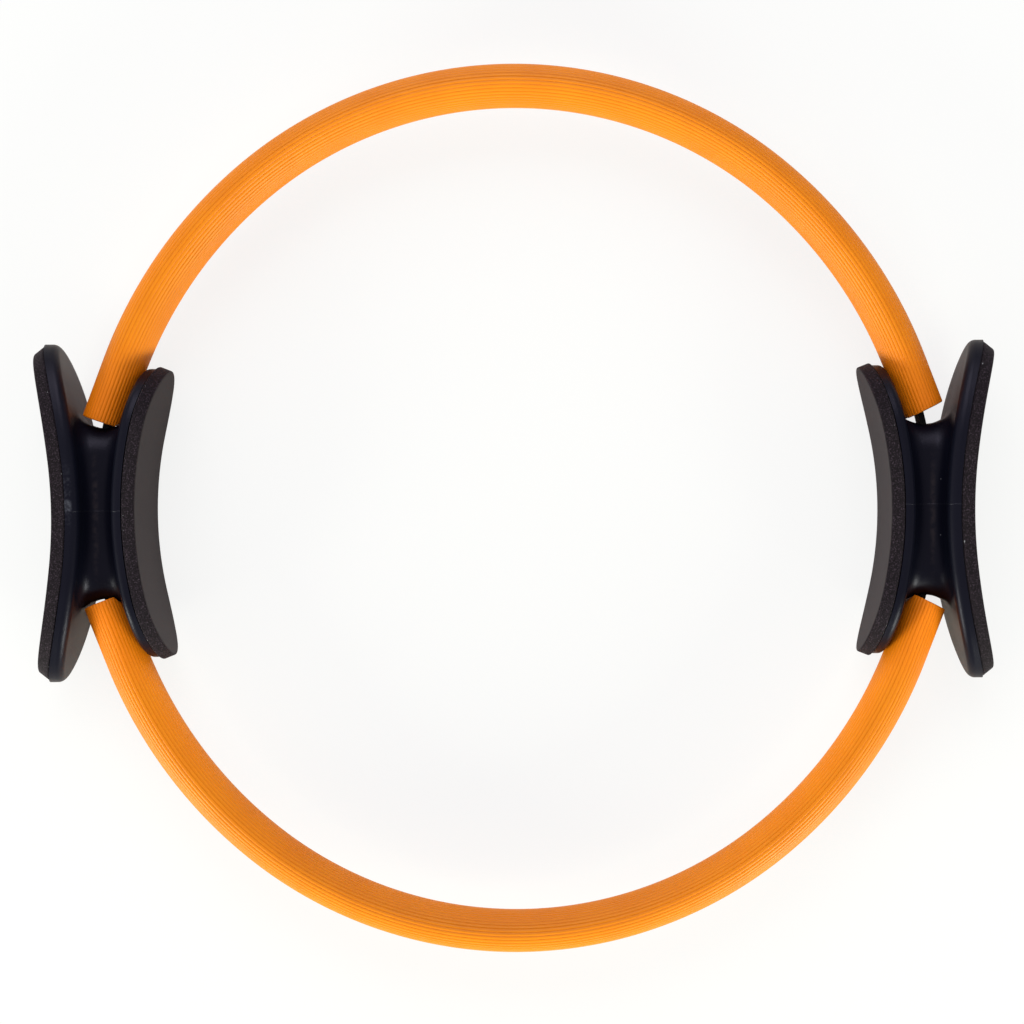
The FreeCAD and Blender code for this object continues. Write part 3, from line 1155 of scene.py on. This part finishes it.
@dataclass(frozen=True)
class Studio:
    """Floor, lamps and camera: the ring lies on a white floor, seen from almost straight above.

    Names that end in _px are in the picture's pixels, counted from its top left corner.
    """

    lamps: tuple[Lamp, ...] = (
        Lamp("key", place=(-1.45, -1.05, 0.5), size=0.7, watts=30.0, tint=(0.92, 1.0, 0.8)),
        Lamp("side", place=(1.15, -1.4, 0.5), size=0.7, watts=33.0, tint=(0.92, 1.0, 0.8)),
        Lamp("fill", place=(-0.15, 1.3, 1.2), size=1.2, watts=14.0, tint=(1.0, 1.0, 1.0)))
    picture: int = 1024
    pixel: float = 0.00042938
    ring_px: Span = (515.5, 511.0)
    nadir_px: Span = (602.0, 510.0)
    focal_px: float = 2197.0
    sensor_mm: float = 36.0
    tilt: float = 2.3
    roll: float = -0.3
    middle_z: float = 0.025
    floor_size: float = 12.0
    floor_drop: float = 0.0004
    floor_tone: Colour = (0.86, 0.86, 0.86, 1.0)
    glow: float = 0.8
    mirror_glow: float = 0.3
    bounce: Colour = (0.68, 0.51, 0.46, 1.0)
    horizon: float = 0.64
    overhead: float = 0.62
    lean: float = 0.15
    backdrop: Colour = (0.8, 0.8, 0.8, 1.0)

    def floor(self) -> None:
        """White floor that glows for the camera and a little in reflections, and takes shadow."""
        graph = Graph(bpy.data.materials.new("floor_white"))
        ray = graph.node("ShaderNodeLightPath", {}, {}, "Is Camera Ray")
        mirrored = ray.other("Is Glossy Ray")
        seen = ray.sum_of("MAXIMUM", ray, ray.other("Is Transmission Ray")) * self.glow
        seen = seen + mirrored * self.mirror_glow
        matt = graph.node("ShaderNodeBsdfDiffuse", {}, {"Color": self.floor_tone})
        tint = graph.mix(mirrored, WHITE, self.bounce)
        light = graph.node("ShaderNodeEmission", {}, {"Color": tint, "Strength": 1.0})
        shader = graph.node("ShaderNodeMixShader", {}, {0: seen, 1: matt, 2: light})
        graph.end(shader, "ShaderNodeOutputMaterial")
        drop = np.full((len(UNIT_SQUARE), 1), -self.floor_drop)
        mesh = bpy.data.meshes.new("floor")
        mesh.from_pydata(np.hstack([UNIT_SQUARE * self.floor_size, drop]), [], [(0, 1, 2, 3)])
        mesh.materials.append(graph.owner)
        floor = bpy.data.objects.new("floor", mesh)
        bpy.context.scene.collection.objects.link(floor)

    def world(self) -> None:
        """Light all round, a little less from overhead and from +X, and an even pale backdrop."""
        world = bpy.data.worlds.new("studio")
        bpy.context.scene.world = world
        graph = Graph(world)
        way = graph.node("ShaderNodeTexCoord", {}, {}, "Generated")
        dome = graph.between(graph.axis(way, "Z"), self.horizon, self.overhead)
        leant = dome - self.lean * graph.axis(way, "X")
        seen = graph.node("ShaderNodeLightPath", {}, {}, "Is Camera Ray")
        level = graph.between(seen, leant, 1.0)
        back = graph.node("ShaderNodeBackground", {}, {"Color": self.backdrop, "Strength": level})
        graph.end(back, "ShaderNodeOutputWorld")

    def camera(self) -> None:
        """Camera above nadir_px, tilted a little, at the scale of pixel in the ring's plane."""
        tilt = math.radians(self.tilt)
        axis_y = self.nadir_px[1] + self.focal_px * math.tan(tilt)
        data = bpy.data.cameras.new("camera")
        data.sensor_width = self.sensor_mm
        data.lens = data.sensor_width * self.focal_px / self.picture
        data.shift_x = (self.picture / 2 - self.nadir_px[0]) / self.picture
        data.shift_y = (axis_y - self.picture / 2) / self.picture
        camera = bpy.data.objects.new("camera", data)
        camera.location = ((self.nadir_px[0] - self.ring_px[0]) * self.pixel,
                           (self.ring_px[1] - self.nadir_px[1]) * self.pixel,
                           self.middle_z + self.focal_px * self.pixel)
        camera.rotation_euler = (-tilt, 0.0, math.radians(self.roll))
        bpy.context.scene.collection.objects.link(camera)
        bpy.context.scene.camera = camera

    def build(self) -> None:
        """Sets up the whole studio."""
        self.floor()
        self.world()
        for lamp in self.lamps:
            lamp.build()
        self.camera()
        bpy.context.scene.view_settings.view_transform = "Standard"


# The ring

SLEEVE_ENDS = {
    Half.UPPER: {Side.RIGHT: SleeveEnd(height=0.0422, slant=4.7),
                 Side.LEFT: SleeveEnd(height=0.0391, slant=-2.0)},
    Half.LOWER: {Side.RIGHT: SleeveEnd(height=0.0391, slant=5.0),
                 Side.LEFT: SleeveEnd(height=0.0377, slant=0.0)},
}
PLASTICS = {
    Side.LEFT: MouldedPlastic("handle_plastic_left", seam_y=0.001, scuff=1.0, pale_specks=()),
    Side.RIGHT: MouldedPlastic("handle_plastic_right", seam_y=0.0022, scuff=0.0,
                               pale_specks=((0.1801, 0.0128), (0.18, -0.0108))),
}


def main() -> None:
    """Builds the ring and its studio, piece by piece."""
    logging.basicConfig(level=logging.INFO, format="%(name)s %(message)s")
    foam, steel = SleeveFoam().build(), SpringSteel().build()
    for half, ends in SLEEVE_ENDS.items():
        HalfHoop(half, ends).build(foam, steel)
    pad_foam, screw_steel = PadFoam().build(), ScrewSteel().build()
    for side, plastic in PLASTICS.items():
        Handle(side).build(pad_foam, plastic.build(), screw_steel)
    Studio().build()


if __name__ == "__main__":
    main()
